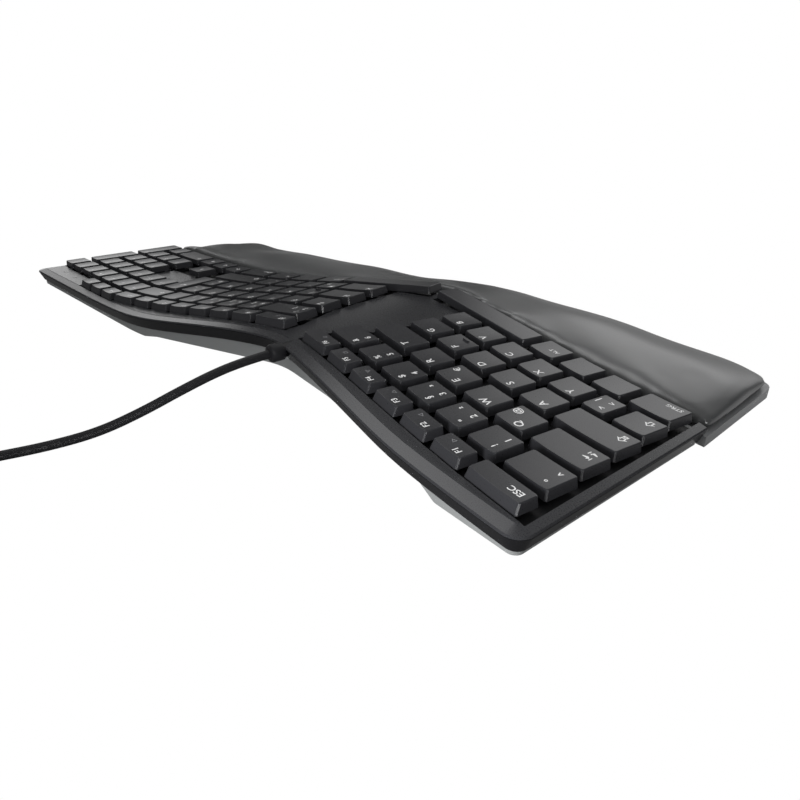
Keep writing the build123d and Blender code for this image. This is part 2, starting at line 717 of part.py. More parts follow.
def front_height(x):
    front = Spline(*REST_FRONT)
    low, high = 0.0, 1.0
    for _ in range(30):
        middle = (low + high) / 2
        if (front @ middle).X < x:
            low = middle
        else:
            high = middle
    return (front @ low).Y


def make_cushion():
    edge = HALF_WIDTH - 0.8
    inner = HALF_WIDTH - END_WIDTH
    corner = front_height(-edge) + REST_CORNER
    sections = [cushion_section(-edge, corner, END_DROP, END_DRAW)]
    for step in range(CUSHION_STEPS + 1):
        x = -inner + 2 * inner * step / CUSHION_STEPS
        at_end = step in (0, CUSHION_STEPS)
        sections.append(cushion_section(x, front_height(x), 0.8 if at_end else 0.0, 0.5 if at_end else 0.0))
    sections.append(cushion_section(edge, front_height(edge) + REST_CORNER, END_DROP, END_DRAW))
    return loft(sections) & column(rest_plan(SEAM_GAP))


def foot_pocket(x):
    width = FOOT_WIDTH + 2 * FOOT_CLEARANCE
    rear = FOOT_HINGE_Y + BARREL_RADIUS + FOOT_CLEARANCE
    front = FOOT_HINGE_Y - FOOT_LENGTH - 1.5
    top = PAD_HEIGHT + 2 * BARREL_RADIUS + 2 * FOOT_CLEARANCE
    return Pos(x, (rear + front) / 2, top / 2) * Box(width, rear - front, top)


def hinge_height():
    return PAD_HEIGHT + FOOT_CLEARANCE + BARREL_RADIUS


def cross_cylinder(x, radius, length):
    return Pos(x, FOOT_HINGE_Y, hinge_height()) * Rot(0, 90, 0) * Cylinder(radius, length)


def make_rest_base():
    plan = rest_plan(SEAM_GAP)
    base = column(plan, PAD_HEIGHT, PAD_HEIGHT + BASE_WALL)
    for side in (-1, 1):
        base -= foot_pocket(side * FOOT_X)
        base -= cross_cylinder(side * FOOT_X, PIN_RADIUS, FOOT_WIDTH + 2 * PIN_BITE)
    return base


def make_foot(x):
    z = hinge_height()
    barrel = cross_cylinder(x, BARREL_RADIUS, FOOT_WIDTH)
    leaf_top = PAD_HEIGHT + FOOT_CLEARANCE + FOOT_THICKNESS
    leaf_z = (PAD_HEIGHT + FOOT_CLEARANCE + leaf_top) / 2
    leaf = Pos(x, FOOT_HINGE_Y - FOOT_LENGTH / 2, leaf_z) * Box(FOOT_WIDTH, FOOT_LENGTH, FOOT_THICKNESS)
    return barrel + leaf - cross_cylinder(x, PIN_RADIUS + PIN_CLEARANCE, FOOT_WIDTH + 2)


def make_pins():
    return group([cross_cylinder(side * FOOT_X, PIN_RADIUS, FOOT_WIDTH + 2 * PIN_BITE) for side in (-1, 1)])


PAD_PLACES = ((-213.0, 96.0), (-213.0, 32.0), (213.0, 100.0), (213.0, 32.0), (-205.0, -70.0), (205.0, -62.0),
              (-70.0, -96.0))


def make_pads():
    pad = extrude(RectangleRounded(PAD_LENGTH, PAD_WIDTH, PAD_WIDTH / 2 - 0.1), amount=PAD_HEIGHT)
    return group([Pos(x, y, 0) * pad for x, y in PAD_PLACES])


# Cord, from the collar in the rear wall to the plug
def make_collar():
    turn = Rot(-90, 0, 0)
    straight = COLLAR_LENGTH - COLLAR_TAPER
    root = (EXIT_X, EXIT_Y - COLLAR_LENGTH, EXIT_Z)
    start = Pos(*root) * turn
    body = start * Cylinder(COLLAR_RADIUS, straight, align=(Align.CENTER, Align.CENTER, Align.MIN))
    tip = Pos(EXIT_X, EXIT_Y - COLLAR_TAPER, EXIT_Z) * turn * Cone(
        COLLAR_RADIUS, COLLAR_TIP_RADIUS, COLLAR_TAPER, align=(Align.CENTER, Align.CENTER, Align.MIN))
    return body + tip


def route_radii(points):
    radii = []
    for before, point, after in zip(points, points[1:], points[2:]):
        entering = Vector(*point) - Vector(*before)
        leaving = Vector(*after) - Vector(*point)
        half_turn = math.radians(entering.get_angle(leaving)) / 2
        radii.append(0.45 * min(entering.length, leaving.length) / math.tan(half_turn))
    return radii


def make_run():
    radii = route_radii(CORD_ROUTE)
    path = FilletPolyline(*CORD_ROUTE, radius=radii)
    section = Plane(origin=path @ 0, z_dir=path % 0) * Circle(CORD_DIAMETER / 2)
    run = sweep(section, path=path)
    ideal = math.pi * CORD_DIAMETER**2 / 4 * path.length
    print("cord radii", [round(r) for r in radii])
    print("cord run length", round(path.length, 1), "volume share", round(run.volume / ideal, 4))
    return run


# Coil: half turns that spiral in on the desk, climb one layer and spiral out again on top
COIL_PITCH = CORD_DIAMETER + COIL_TURN_GAP
COIL_START = Vector(*CORD_ROUTE[-1])


def rising_arcs(start, heading, centre, end, rise):
    # Two tangent arcs about a centre, level at both ends, which climb by the rise between them
    radius = (Vector(start.X, start.Y, 0) - Vector(centre.X, centre.Y, 0)).length
    outward = Vector(start.X + end.X - 2 * centre.X, start.Y + end.Y - 2 * centre.Y, 0)
    if outward.length < radius / 100:
        outward = heading
    outward = outward.normalized() * math.hypot(radius, rise / 2)
    peak = Vector(centre.X, centre.Y, start.Z + rise / 2) + outward
    first = TangentArc(start, peak, tangent=heading)
    second = TangentArc(peak, end, tangent=first % 1)
    return [first, second]


def half_turn(start, side, radius):
    middle = start + Vector(side * radius, radius * side, 0)
    end = start + Vector(side * 2 * radius, 0, 0)
    return [ThreePointArc(start, middle, end)], end


def coil_edges():
    outer = COIL_MEAN_RADIUS + (COIL_HALF_TURNS - 1) * COIL_PITCH / 4
    start = COIL_START + Vector(0, COIL_LEAD, 0)
    edges = [Line(COIL_START, start)]
    side = 1
    radius = outer
    for _ in range(COIL_HALF_TURNS):
        arcs, start = half_turn(start, side, radius)
        edges += arcs
        radius -= COIL_PITCH / 2
        side = -side
    centre = start + Vector(side * radius, 0, 0)
    end = start + Vector(side * 2 * radius, 0, COIL_PITCH)
    edges += rising_arcs(start, Vector(0, side, 0), centre, end, COIL_PITCH)
    start = end
    side = -side
    for _ in range(COIL_HALF_TURNS):
        radius += COIL_PITCH / 2
        arcs, start = half_turn(start, side, radius)
        edges += arcs
        side = -side
    # The tail turns away from the coil and comes down, so that the plug lies on the desk
    corner = start + Vector(TAIL_RADIUS, 0, 0)
    end = Vector(corner.X, corner.Y + side * TAIL_RADIUS, PLUG_THICKNESS / 2)
    edges += rising_arcs(start, Vector(0, side, 0), corner, end, end.Z - start.Z)
    tail = end + Vector(COIL_LEAD, 0, 0)
    edges.append(Line(end, tail))
    return edges, tail


def octagon(radius):
    return RegularPolygon(radius, 8, major_radius=False)


def make_coil(edges):
    path = Wire(edges)
    section = Plane(origin=COIL_START, z_dir=(0, 1, 0)) * octagon(CORD_DIAMETER / 2)
    coil = sweep(section, path=path)
    area = 8 * math.tan(math.pi / 8) * CORD_DIAMETER**2 / 4
    print("coil length", round(path.length), "volume share", round(coil.volume / (area * path.length), 4))
    print("coil least gap", round(least_gap(path), 2))
    return coil


def least_gap(path):
    steps = 1500
    spacing = path.length / steps
    points = [path @ (i / steps) for i in range(steps + 1)]
    skip = int(2.5 * CORD_DIAMETER / spacing) + 1
    least = 1000.0
    for i, point in enumerate(points):
        for other in points[i + skip:]:
            least = min(least, (point - other).length)
    return least - CORD_DIAMETER


def make_tie():
    # The strap goes round the side of the coil nearer the keyboard, midway between the centres of its two layers
    first_radius = COIL_MEAN_RADIUS + (COIL_HALF_TURNS - 1) * COIL_PITCH / 4
    outer = first_radius - COIL_PITCH / 2 + CORD_DIAMETER / 2 + FIT_GAP
    least_radius = first_radius - (COIL_HALF_TURNS - 1) * COIL_PITCH / 2
    reach = (TIE_WIDTH + COIL_PITCH) / 2
    inner = math.sqrt((least_radius - CORD_DIAMETER / 2 - FIT_GAP) ** 2 - reach**2)
    low = COIL_START.Z - CORD_DIAMETER / 2 - FIT_GAP
    high = COIL_START.Z + COIL_PITCH + CORD_DIAMETER / 2 + FIT_GAP
    hole = Box(TIE_WIDTH + 1, outer - inner, high - low)
    strap = Box(TIE_WIDTH, outer - inner + 2 * TIE_WALL, high - low + 2 * TIE_WALL) - hole
    x = COIL_START.X + first_radius
    y = COIL_START.Y + COIL_LEAD - (outer + inner) / 2
    return Pos(x, y, (low + high) / 2) * strap


def make_plug(tail):
    back = Plane(origin=tail, z_dir=(1, 0, 0), x_dir=(0, 1, 0))
    blank = extrude(back * RectangleRounded(PLUG_WIDTH, PLUG_THICKNESS, PLUG_CORNER), amount=PLUG_LENGTH)
    nose = back.offset(PLUG_LENGTH)
    tube = Rectangle(SHELL_WIDTH, SHELL_THICKNESS) - Rectangle(
        SHELL_WIDTH - 2 * SHELL_WALL, SHELL_THICKNESS - 2 * SHELL_WALL)
    shell = extrude(nose * tube, amount=SHELL_LENGTH)
    drop = (SHELL_THICKNESS - 2 * SHELL_WALL - TONGUE_THICKNESS) / 2
    tongue = extrude(nose * Pos(0, drop) * Rectangle(TONGUE_WIDTH, TONGUE_THICKNESS), amount=TONGUE_LENGTH)
    return blank, shell, tongue


left_block()
right_block()
number_pad()
for name, pieces in keys.items():
    save(group(pieces), name)
save(group(domes), "key_domes")
save(group(bars), "stabilizer_bars")
save(make_deck(), "top_shell")
save(make_lights(), "status_lights")
save(make_panel(), "nav_panel")
save(make_band(), "edge_band")
save(make_membrane(), "contact_membrane")
save(make_plate(), "key_plate")
save(make_tray() + board_posts(), "bottom_shell")
save(make_board(), "controller_board")
save(make_screws(), "case_screws")
save(make_rest_base(), "palm_rest_base")
save(make_cushion(), "palm_cushion")
save(make_foot(-FOOT_X), "left_tilt_foot")
save(make_foot(FOOT_X), "right_tilt_foot")
save(make_pins(), "tilt_foot_pins")
save(make_pads(), "rubber_feet")
save(make_collar(), "strain_relief")
save(make_run(), "cord_run")
coil_path, coil_tail = coil_edges()
save(make_coil(coil_path), "cord_coil")
save(make_tie(), "coil_tie")
overmould, shell, tongue = make_plug(coil_tail)
save(overmould, "plug_overmould")
save(shell, "plug_shell")
save(tongue, "plug_tongue")
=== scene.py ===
import bpy
import bmesh
import json
import math
import numpy as np
from mathutils import Matrix, Vector
from mathutils.bvhtree import BVHTree


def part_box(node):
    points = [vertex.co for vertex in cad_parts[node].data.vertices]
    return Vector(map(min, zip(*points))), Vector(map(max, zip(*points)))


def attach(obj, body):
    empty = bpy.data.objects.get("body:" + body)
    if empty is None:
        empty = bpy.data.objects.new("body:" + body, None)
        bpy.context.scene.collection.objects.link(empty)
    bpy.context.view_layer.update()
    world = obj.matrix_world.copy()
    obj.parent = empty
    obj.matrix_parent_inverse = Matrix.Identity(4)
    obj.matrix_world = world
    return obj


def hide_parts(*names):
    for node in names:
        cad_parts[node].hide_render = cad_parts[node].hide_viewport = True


# Ergonomic keyboard with a divided, domed key field. Metres, in the frame of the CAD model

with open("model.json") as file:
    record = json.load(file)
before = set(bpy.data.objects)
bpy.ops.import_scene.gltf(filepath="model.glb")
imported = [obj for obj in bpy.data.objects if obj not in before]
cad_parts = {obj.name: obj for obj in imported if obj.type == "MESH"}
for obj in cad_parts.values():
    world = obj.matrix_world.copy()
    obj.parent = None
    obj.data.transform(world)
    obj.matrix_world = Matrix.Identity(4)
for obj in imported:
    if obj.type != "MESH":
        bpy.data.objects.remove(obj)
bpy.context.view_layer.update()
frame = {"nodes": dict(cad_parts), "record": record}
nodes = frame["nodes"]
scene = bpy.context.scene
MM = 0.001


def link_piece(name, data):
    piece = bpy.data.objects.new(name, data)
    scene.collection.objects.link(piece)
    return piece


# Camera at the photograph's viewpoint: its place, and the directions of the picture's right, down and depth
CAMERA_PLACE = (-0.30938, 0.22711, 0.12074)
RIGHT = Vector((-0.67744, -0.73557, -0.00358))
DOWN = Vector((-0.31061, 0.29046, -0.90507))
AHEAD = Vector((0.66678, -0.61202, -0.42525))
camera_data = bpy.data.cameras.new("camera")
camera_data.lens = 27.29
camera_data.sensor_width = 36.0
camera_data.clip_start = 0.01
camera_data.clip_end = 50.0
camera = link_piece("camera", camera_data)
camera_turn = Matrix((RIGHT, -DOWN, -AHEAD)).transposed()
camera.matrix_world = Matrix.Translation(CAMERA_PLACE) @ camera_turn.to_4x4()
scene.camera = camera
scene.render.resolution_x = 800
scene.render.resolution_y = 800


# Nodes that the materials, the floor and the studio share
def ranged(tree, source, low, high, start, end, interpolation="LINEAR"):
    made = tree.nodes.new("ShaderNodeMapRange")
    made.interpolation_type = interpolation
    for label, value in (("From Min", low), ("From Max", high), ("To Min", start), ("To Max", end)):
        made.inputs[label].default_value = value
    tree.links.new(source, made.inputs["Value"])
    return made.outputs["Result"]


def noise(tree, place, scale, detail):
    made = tree.nodes.new("ShaderNodeTexNoise")
    made.inputs["Scale"].default_value = scale
    made.inputs["Detail"].default_value = detail
    tree.links.new(place, made.inputs["Vector"])
    return made.outputs["Fac"]


def material(name):
    made = bpy.data.materials.new(name)
    made.use_nodes = True
    tree = made.node_tree
    return made, tree, tree.nodes["Principled BSDF"]


def object_place(tree):
    return tree.nodes.new("ShaderNodeTexCoord").outputs["Object"]


def raise_grain(tree, shader, height, strength, distance):
    relief = tree.nodes.new("ShaderNodeBump")
    relief.inputs["Strength"].default_value = strength
    relief.inputs["Distance"].default_value = distance
    tree.links.new(height, relief.inputs["Height"])
    tree.links.new(relief.outputs["Normal"], shader.inputs["Normal"])


# Materials. A grained one has a fine grain in its relief and gloss, and a broad, faint change of tone
GRAIN_DETAIL = 3.0
GRAIN_DISTANCE = 0.00004
GRAIN_GLOSS = 0.05
BROAD_SCALE = 18.0
BROAD_DETAIL = 4.0
BROAD_RANGE = (0.3, 0.7)
COAT_ROUGHNESS = 0.25
BRUSH_SCALE = 120.0
BRUSH_STRETCH = (1.0, 40.0, 40.0)
BRUSH_GLOSS = (-0.08, 0.12)
BRUSH_RELIEF = 0.1
BRUSH_DISTANCE = 0.00002


def grained(name, colour, rough, scale=2500.0, bump=0.15, spread=0.08, specular=0.5, coat=0.0):
    made, tree, shader = material(name)
    place = object_place(tree)
    grain = noise(tree, place, scale, GRAIN_DETAIL)
    broad = noise(tree, place, BROAD_SCALE, BROAD_DETAIL)
    tone = tree.nodes.new("ShaderNodeVectorMath")
    tone.operation = "SCALE"
    tone.inputs[0].default_value = colour
    tree.links.new(ranged(tree, broad, *BROAD_RANGE, 1.0 - spread, 1.0 + spread), tone.inputs["Scale"])
    tree.links.new(tone.outputs["Vector"], shader.inputs["Base Color"])
    gloss = ranged(tree, grain, 0.0, 1.0, rough - GRAIN_GLOSS, rough + GRAIN_GLOSS)
    tree.links.new(gloss, shader.inputs["Roughness"])
    raise_grain(tree, shader, grain, bump, GRAIN_DISTANCE)
    shader.inputs["Specular IOR Level"].default_value = specular
    shader.inputs["Coat Weight"].default_value = coat
    shader.inputs["Coat Roughness"].default_value = COAT_ROUGHNESS
    return made


def brushed(name, colour, rough):
    made, tree, shader = material(name)
    stretch = tree.nodes.new("ShaderNodeMapping")
    stretch.inputs["Scale"].default_value = BRUSH_STRETCH
    tree.links.new(object_place(tree), stretch.inputs["Vector"])
    lines = noise(tree, stretch.outputs["Vector"], BRUSH_SCALE, GRAIN_DETAIL)
    smoother, rougher = BRUSH_GLOSS
    gloss = ranged(tree, lines, 0.0, 1.0, rough + smoother, rough + rougher)
    tree.links.new(gloss, shader.inputs["Roughness"])
    raise_grain(tree, shader, lines, BRUSH_RELIEF, BRUSH_DISTANCE)
    shader.inputs["Base Color"].default_value = (*colour, 1.0)
    shader.inputs["Metallic"].default_value = 1.0
    return made


keycap_plastic = grained("keycap_plastic", (0.024, 0.0243, 0.027), 0.29, bump=0.10)
deck_plastic = grained("deck_plastic", (0.024, 0.0245, 0.027), 0.28, scale=2200.0, bump=0.12)
band_plastic = grained("band_plastic", (0.007, 0.007, 0.008), 0.22, bump=0.04, spread=0.04, specular=0.28)
tray_plastic = grained("tray_plastic", (0.175, 0.181, 0.182), 0.5, scale=1800.0, bump=0.2, spread=0.03)
rest_plastic = grained("rest_plastic", (0.15, 0.153, 0.157), 0.38)
cushion_skin = grained("cushion_skin", (0.048, 0.050, 0.051), 0.38, scale=1500.0, specular=0.9, coat=0.3)
dome_rubber = grained("dome_rubber", (0.016, 0.016, 0.017), 0.6)
film = grained("film", (0.010, 0.010, 0.011), 0.5)
board_green = grained("board_green", (0.02, 0.13, 0.05), 0.4)
pad_rubber = grained("pad_rubber", (0.012, 0.012, 0.012), 0.8)
cord_rubber = grained("cord_rubber", (0.012, 0.012, 0.0135), 0.5, scale=1800.0, bump=0.01, spread=0.03,
                      specular=0.3)
lens = grained("lens", (0.012, 0.012, 0.013), 0.2, bump=0.02, specular=0.6)
plug_plastic = grained("plug_plastic", (0.015, 0.015, 0.016), 0.5)
tongue_plastic = grained("tongue_plastic", (0.7, 0.7, 0.68), 0.5)
legend_ink = grained("legend_ink", (0.78, 0.78, 0.78), 0.45, bump=0.05, spread=0.03)
faint_ink = grained("faint_ink", (0.20, 0.20, 0.21), 0.45, bump=0.05, spread=0.03)
plain_steel = brushed("plain_steel", (0.30, 0.30, 0.31), 0.45)
coated_steel = brushed("coated_steel", (0.030, 0.030, 0.032), 0.55)
plug_steel = brushed("plug_steel", (0.72, 0.72, 0.74), 0.2)

# Key nodes are the bodies that move by themselves, apart from the two tilt feet
KEYS = [name for name, body in frame["record"]["behaviour"]["bodies"].items()
        if body == [name] and not name.endswith("_tilt_foot")]

LOOKS = (
    (keycap_plastic, KEYS),
    (dome_rubber, ("key_domes",)),
    (deck_plastic, ("top_shell", "nav_panel")),
    (lens, ("status_lights",)),
    (band_plastic, ("edge_band",)),
    (tray_plastic, ("bottom_shell", "left_tilt_foot", "right_tilt_foot")),
    (rest_plastic, ("palm_rest_base",)),
    (cushion_skin, ("palm_cushion",)),
    (film, ("contact_membrane",)),
    (board_green, ("controller_board",)),
    (coated_steel, ("key_plate", "stabilizer_bars")),
    (plain_steel, ("case_screws", "tilt_foot_pins")),
    (pad_rubber, ("rubber_feet",)),
    (cord_rubber, ("strain_relief", "cord_run", "cord_coil")),
    (plug_plastic, ("coil_tie", "plug_overmould")),
    (plug_steel, ("plug_shell",)),
    (tongue_plastic, ("plug_tongue",)),
)
for look, names in LOOKS:
    for name in names:
        nodes[name].data.materials.clear()
        nodes[name].data.materials.append(look)


# Soft edges on the moulded pieces. The keys of the rear row are the roundest
WELD_DISTANCE = 0.01 * MM
EDGE_ANGLE = math.radians(30.0)
KEY_ROUND = 0.22 * MM
REAR_KEY_ROUND = 0.7 * MM
REAR_ROW = ("escape_key", "function_keys_left", "function_keys_right", "system_keys")
CASE_ROUNDS = {
    "top_shell": 0.4 * MM, "edge_band": 0.5 * MM, "nav_panel": 0.3 * MM, "palm_rest_base": 0.5 * MM,
    "bottom_shell": 0.4 * MM,
}


def smooth_faces(mesh):
    for face in mesh.polygons:
        face.use_smooth = True


def rounded(name, width, segments=2):
    piece = nodes[name]
    weld = piece.modifiers.new("weld", "WELD")
    weld.merge_threshold = WELD_DISTANCE
    soft = piece.modifiers.new("soft_edges", "BEVEL")
    soft.width = width
    soft.segments = segments
    soft.limit_method = "ANGLE"
    soft.angle_limit = EDGE_ANGLE
    even = piece.modifiers.new("even_normals", "WEIGHTED_NORMAL")
    even.keep_sharp = True
    smooth_faces(piece.data)


for name in KEYS:
    if name in REAR_ROW:
        rounded(name, REAR_KEY_ROUND, segments=3)
    else:
        rounded(name, KEY_ROUND)
for name, width in CASE_ROUNDS.items():
    rounded(name, width)


# Printed marks on the keys. A mark is a text, the place of its middle from the left and rear edges of the
# key's top, its size and its ink. Places and sizes are in millimetres
MAIN = (4.6, 3.3)
THIRD = (11.9, 9.6)
NUMBER = (4.2, 10.2)
SHIFTED = (4.2, 3.7)
NUMBER_THIRD = (11.4, 9.9)
BAR_PLACE = (9.4, 8.0)
MIDDLE_LINE = (5.2, 6.6)
LOWER_LEFT = (5.0, 9.6)
ESCAPE_PLACE = (5.6, 3.8)
FUNCTION_PLACE = (4.4, 2.6)
FUNCTION_SIGN_PLACE = (10.2, 5.6)
SYSTEM_PLACE = (6.2, 3.6)
BACKSPACE_PLACE = (5.4, 7.0)
TAB_BACK_PLACE = (5.0, 7.4)
TAB_PLACE = (5.0, 10.8)
CONTROL_PLACE = (6.2, 11.2)
ENTER_PLACE = (5.2, 10.0)
PAD_PLACE = (4.4, 3.6)
PAD_SIGN_PLACE = (4.8, 3.8)
NAVIGATION_PLACE = (5.8, 5.0)
ARROW_PLACE = (7.0, 7.0)
LETTER = 5.1
SIGN = 5.0
DIGIT = 4.3
TAB_SIGN = 4.2
ESCAPE_WORD = 3.8
FUNCTION_WORD = 3.7
PAD_SIGN = 3.2
WORD = 3.1
FUNCTION_SIGN = 2.4
NAVIGATION_WORD = 2.2
SYSTEM_WORD = 2.0


# Each of these functions gives one list of marks per key, from a text with an entry per key. An entry of
# letters or digits has one character for each mark
def letters(entries):
    keys = []
    for entry in entries.split():
        marks = [(entry[0], MAIN, LETTER, legend_ink)]
        if len(entry) > 1:
            marks.append((entry[1], THIRD, DIGIT, legend_ink))
        keys.append(marks)
    return keys


def digits(entries):
    places = (NUMBER, SHIFTED, NUMBER_THIRD)
    keys = []
    for entry in entries.split():
        keys.append([(mark, place, DIGIT, legend_ink) for mark, place in zip(entry, places)])
    return keys


# F and a number that counts up from the first, with a small plain sign in front
def functions(first, signs):
    keys = []
    for number, sign in enumerate(signs, start=first):
        keys.append([(f"F{number}", FUNCTION_PLACE, FUNCTION_WORD, legend_ink),
                     (sign, FUNCTION_SIGN_PLACE, FUNCTION_SIGN, faint_ink)])
    return keys


# One word per key, and a full stop for a bare key
def words(entries, place=MIDDLE_LINE, size=WORD):
    return [[(entry, place, size, legend_ink)] if entry != "." else [] for entry in entries.split()]


LEGENDS = {
    "escape_key": words("ESC", ESCAPE_PLACE, ESCAPE_WORD),
    "function_keys_left": functions(1, "▷◁△▽□○"),
    "function_keys_right": functions(7, "◇△▽□○▷"),
    "system_keys": words("DRUCK ROLLEN PAUSE ☰ ▤", SYSTEM_PLACE, SYSTEM_WORD),
    "number_keys_left": digits("^° 1! 2\"² 3§³ 4$ 5% 6&"),
    "number_keys_right": digits("7/{ 8([ 9)] 0=} ß?\\ ´`"),
    "backspace_key": words("←", BACKSPACE_PLACE, SIGN),
    "tab_key": [[("⇤", TAB_BACK_PLACE, TAB_SIGN, legend_ink), ("⇥", TAB_PLACE, TAB_SIGN, legend_ink)]],
    "caps_lock_key": words("⇪", LOWER_LEFT, SIGN),
    "left_shift_key": words("⇧", LOWER_LEFT, SIGN),
    "right_shift_key": words("⇧", LOWER_LEFT, SIGN),
    "left_control_key": words("STRG", CONTROL_PLACE),
    "right_control_key": words("STRG", CONTROL_PLACE),
    "modifier_keys_left": words(". . ALT"),
    "modifier_keys_right": words("ALTGR . ☰"),
    "upper_letters_left": letters("Q@ W E€ R T"),
    "home_letters_left": letters("A S D F G"),
    "lower_letters_left": [[("<", NUMBER, DIGIT, legend_ink), (">", SHIFTED, DIGIT, legend_ink),
                            ("|", BAR_PLACE, DIGIT, legend_ink)], *letters("Y X C V B")],
    "upper_letters_right": [*letters("Z U I O P Ü"), *digits("+*~")],
    "home_letters_right": [*letters("H J K L Ö Ä"), *digits("#'")],
    "lower_letters_right": [*letters("N Mµ"), *digits(",; .: -_")],
    "enter_key": words("↵", ENTER_PLACE, SIGN),
    "number_pad_top_row": words("NUM ÷ × −", PAD_SIGN_PLACE, PAD_SIGN),
    "number_pad_seven_to_nine": words("7 8 9", PAD_PLACE, DIGIT),
    "number_pad_four_to_six": words("4 5 6", PAD_PLACE, DIGIT),
    "number_pad_lower_keys": words("1 2 3 ,", PAD_PLACE, DIGIT),
    "number_pad_plus_key": words("+", PAD_PLACE, DIGIT),
    "number_pad_enter_key": words("↵", PAD_PLACE, DIGIT),
    "number_pad_zero_key": words("0", PAD_PLACE, DIGIT),
    "navigation_keys": words("EINFG POS1 BILD↑ ENTF ENDE BILD↓", NAVIGATION_PLACE, NAVIGATION_WORD),
    "left_arrow_key": words("←", ARROW_PLACE, SIGN),
    "right_arrow_key": words("→", ARROW_PLACE, SIGN),
    "up_arrow_key": words("↑", ARROW_PLACE, SIGN),
    "down_arrow_key": words("↓", ARROW_PLACE, SIGN),
}
# Keys in each row, from the rear, of the nodes that have more than one row
ROWS = {"navigation_keys": (3, 3), "number_pad_lower_keys": (3, 1)}
INK_WIDTH = 0.014
INK_LIFT = 0.03 * MM
ABOVE_KEY = 2 * MM
# A key's top is made of the faces whose normal rises at least this much, and its reach is that of the points
# within this depth. An edge counts as one where it folds by more than this, in radians
LEVEL_NORMAL = 0.97
CROWN_DEPTH = 0.9 * MM
EDGE_FOLD = 0.35
glyphs = {}


# Outline of a text one unit high, centred on its own middle
def glyph(text):
    if text not in glyphs:
        lettering = bpy.data.curves.new("mark", "FONT")
        lettering.body = text
        lettering.resolution_u = 3
        lettering.offset = INK_WIDTH
        holder = bpy.data.objects.new("mark", lettering)
        flat = bpy.data.meshes.new_from_object(holder)
        points = np.array([vertex.co[:2] for vertex in flat.vertices])
        middle = (points.min(axis=0) + points.max(axis=0)) / 2
        glyphs[text] = (points - middle, [tuple(face.vertices) for face in flat.polygons])
        bpy.data.objects.remove(holder)
        bpy.data.curves.remove(lettering)
        bpy.data.meshes.remove(flat)
    return glyphs[text]


# The separate solids in a node's mesh. Dictionaries keep what they hold in order, so each run gives the same
def solids_of(shape):
    waiting = dict.fromkeys(shape.verts)
    found = []
    while waiting:
        reached = [waiting.popitem()[0]]
        for vertex in reached:
            for edge in vertex.link_edges:
                other = edge.other_vert(vertex)
                if other in waiting:
                    del waiting[other]
                    reached.append(other)
        found.append(reached)
    return found


# Corner, directions and normal of a key's top, from the key's own faces and edges
def key_frame(vertices):
    faces = dict.fromkeys(face for vertex in vertices for face in vertex.link_faces)
    edges = dict.fromkeys(edge for vertex in vertices for edge in vertex.link_edges)
    up = Vector((0, 0, 0))
    for face in faces:
        if face.normal.z > LEVEL_NORMAL:
            up += face.normal * face.calc_area()
    up.normalize()
    folded = [edge for edge in edges if edge.calc_face_angle(0.0) > EDGE_FOLD]
    longest = max(folded, key=lambda edge: (edge.verts[0].co - edge.verts[1].co).xy.length)
    run = longest.verts[1].co - longest.verts[0].co
    heading = (math.atan2(run.y, run.x) + math.pi / 4) % (math.pi / 2) - math.pi / 4
    across = up.cross(Vector((math.cos(heading), math.sin(heading), 0))).normalized()
    along = across.cross(up)
    heights = [vertex.co.dot(up) for vertex in vertices]
    top = max(heights)
    crown = [vertex.co for vertex, height in zip(vertices, heights) if height > top - CROWN_DEPTH]
    left = min(point.dot(along) for point in crown)
    rear = max(point.dot(across) for point in crown)
    return along * left + across * rear + up * (top + ABOVE_KEY), along, across, up


# Keys of a node in reading order: from the rear row to the front row, each from left to right
def in_rows(frames, counts):
    ordered = sorted(frames, key=lambda found: -found[0].y)
    rows = []
    for count in counts:
        rows += sorted(ordered[:count], key=lambda found: found[0].x)
        ordered = ordered[count:]
    return rows


# Each mark lies on the dished top of its key, just proud of it
def print_marks(name, keys):
    shape = bmesh.new()
    shape.from_mesh(nodes[name].data)
    bmesh.ops.remove_doubles(shape, verts=shape.verts, dist=WELD_DISTANCE)
    surface = BVHTree.FromBMesh(shape)
    frames = [key_frame(vertices) for vertices in solids_of(shape)]
    rows = ROWS.get(name, (len(frames),))
    places, faces, inks = [], [], []
    for (corner, along, across, up), marks in zip(in_rows(frames, rows), keys):
        for text, (from_left, from_rear), size, ink in marks:
            points, outlines = glyph(text)
            first = len(places)
            for x, y in points * size:
                above = corner + along * ((from_left + x) * MM) + across * ((y - from_rear) * MM)
                hit = surface.ray_cast(above, -up)[0]
                places.append(hit + up * INK_LIFT if hit else above - up * ABOVE_KEY)
            faces += [tuple(first + index for index in outline) for outline in outlines]
            inks += [0 if ink is legend_ink else 1] * len(outlines)
    shape.free()
    mesh = bpy.data.meshes.new("marks_" + name)
    mesh.from_pydata(places, [], faces)
    mesh.materials.append(legend_ink)
    mesh.materials.append(faint_ink)
    mesh.polygons.foreach_set("material_index", inks)
    marks = link_piece("marks_" + name, mesh)
    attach(marks, name)


for name, keys in LEGENDS.items():
    print_marks(name, keys)


# Cord: one smooth line from the collar to the coil, then the turns of the coil and the tail to the plug
ROUTE = [
    (-0.0770, 0.0919, 0.0218), (-0.0770, 0.1033, 0.0218), (-0.0773, 0.1193, 0.0208),
    (-0.0756, 0.1363, 0.0165), (-0.0714, 0.1533, 0.0100), (-0.0656, 0.1703, 0.0042),
    (-0.0594, 0.1883, 0.0020), (-0.0544, 0.2063, 0.0021), (-0.0514, 0.2233, 0.0029),
    (-0.0514, 0.2383, 0.0029),
]
CORD_DIAMETER = 0.004
COIL_PITCH = 0.0045
COIL_RADIUS = 0.034125
HALF_TURNS = 10
STEPS = 8
LEAD = 0.004
LEAD_POINT = 0.002
TAIL = 0.020
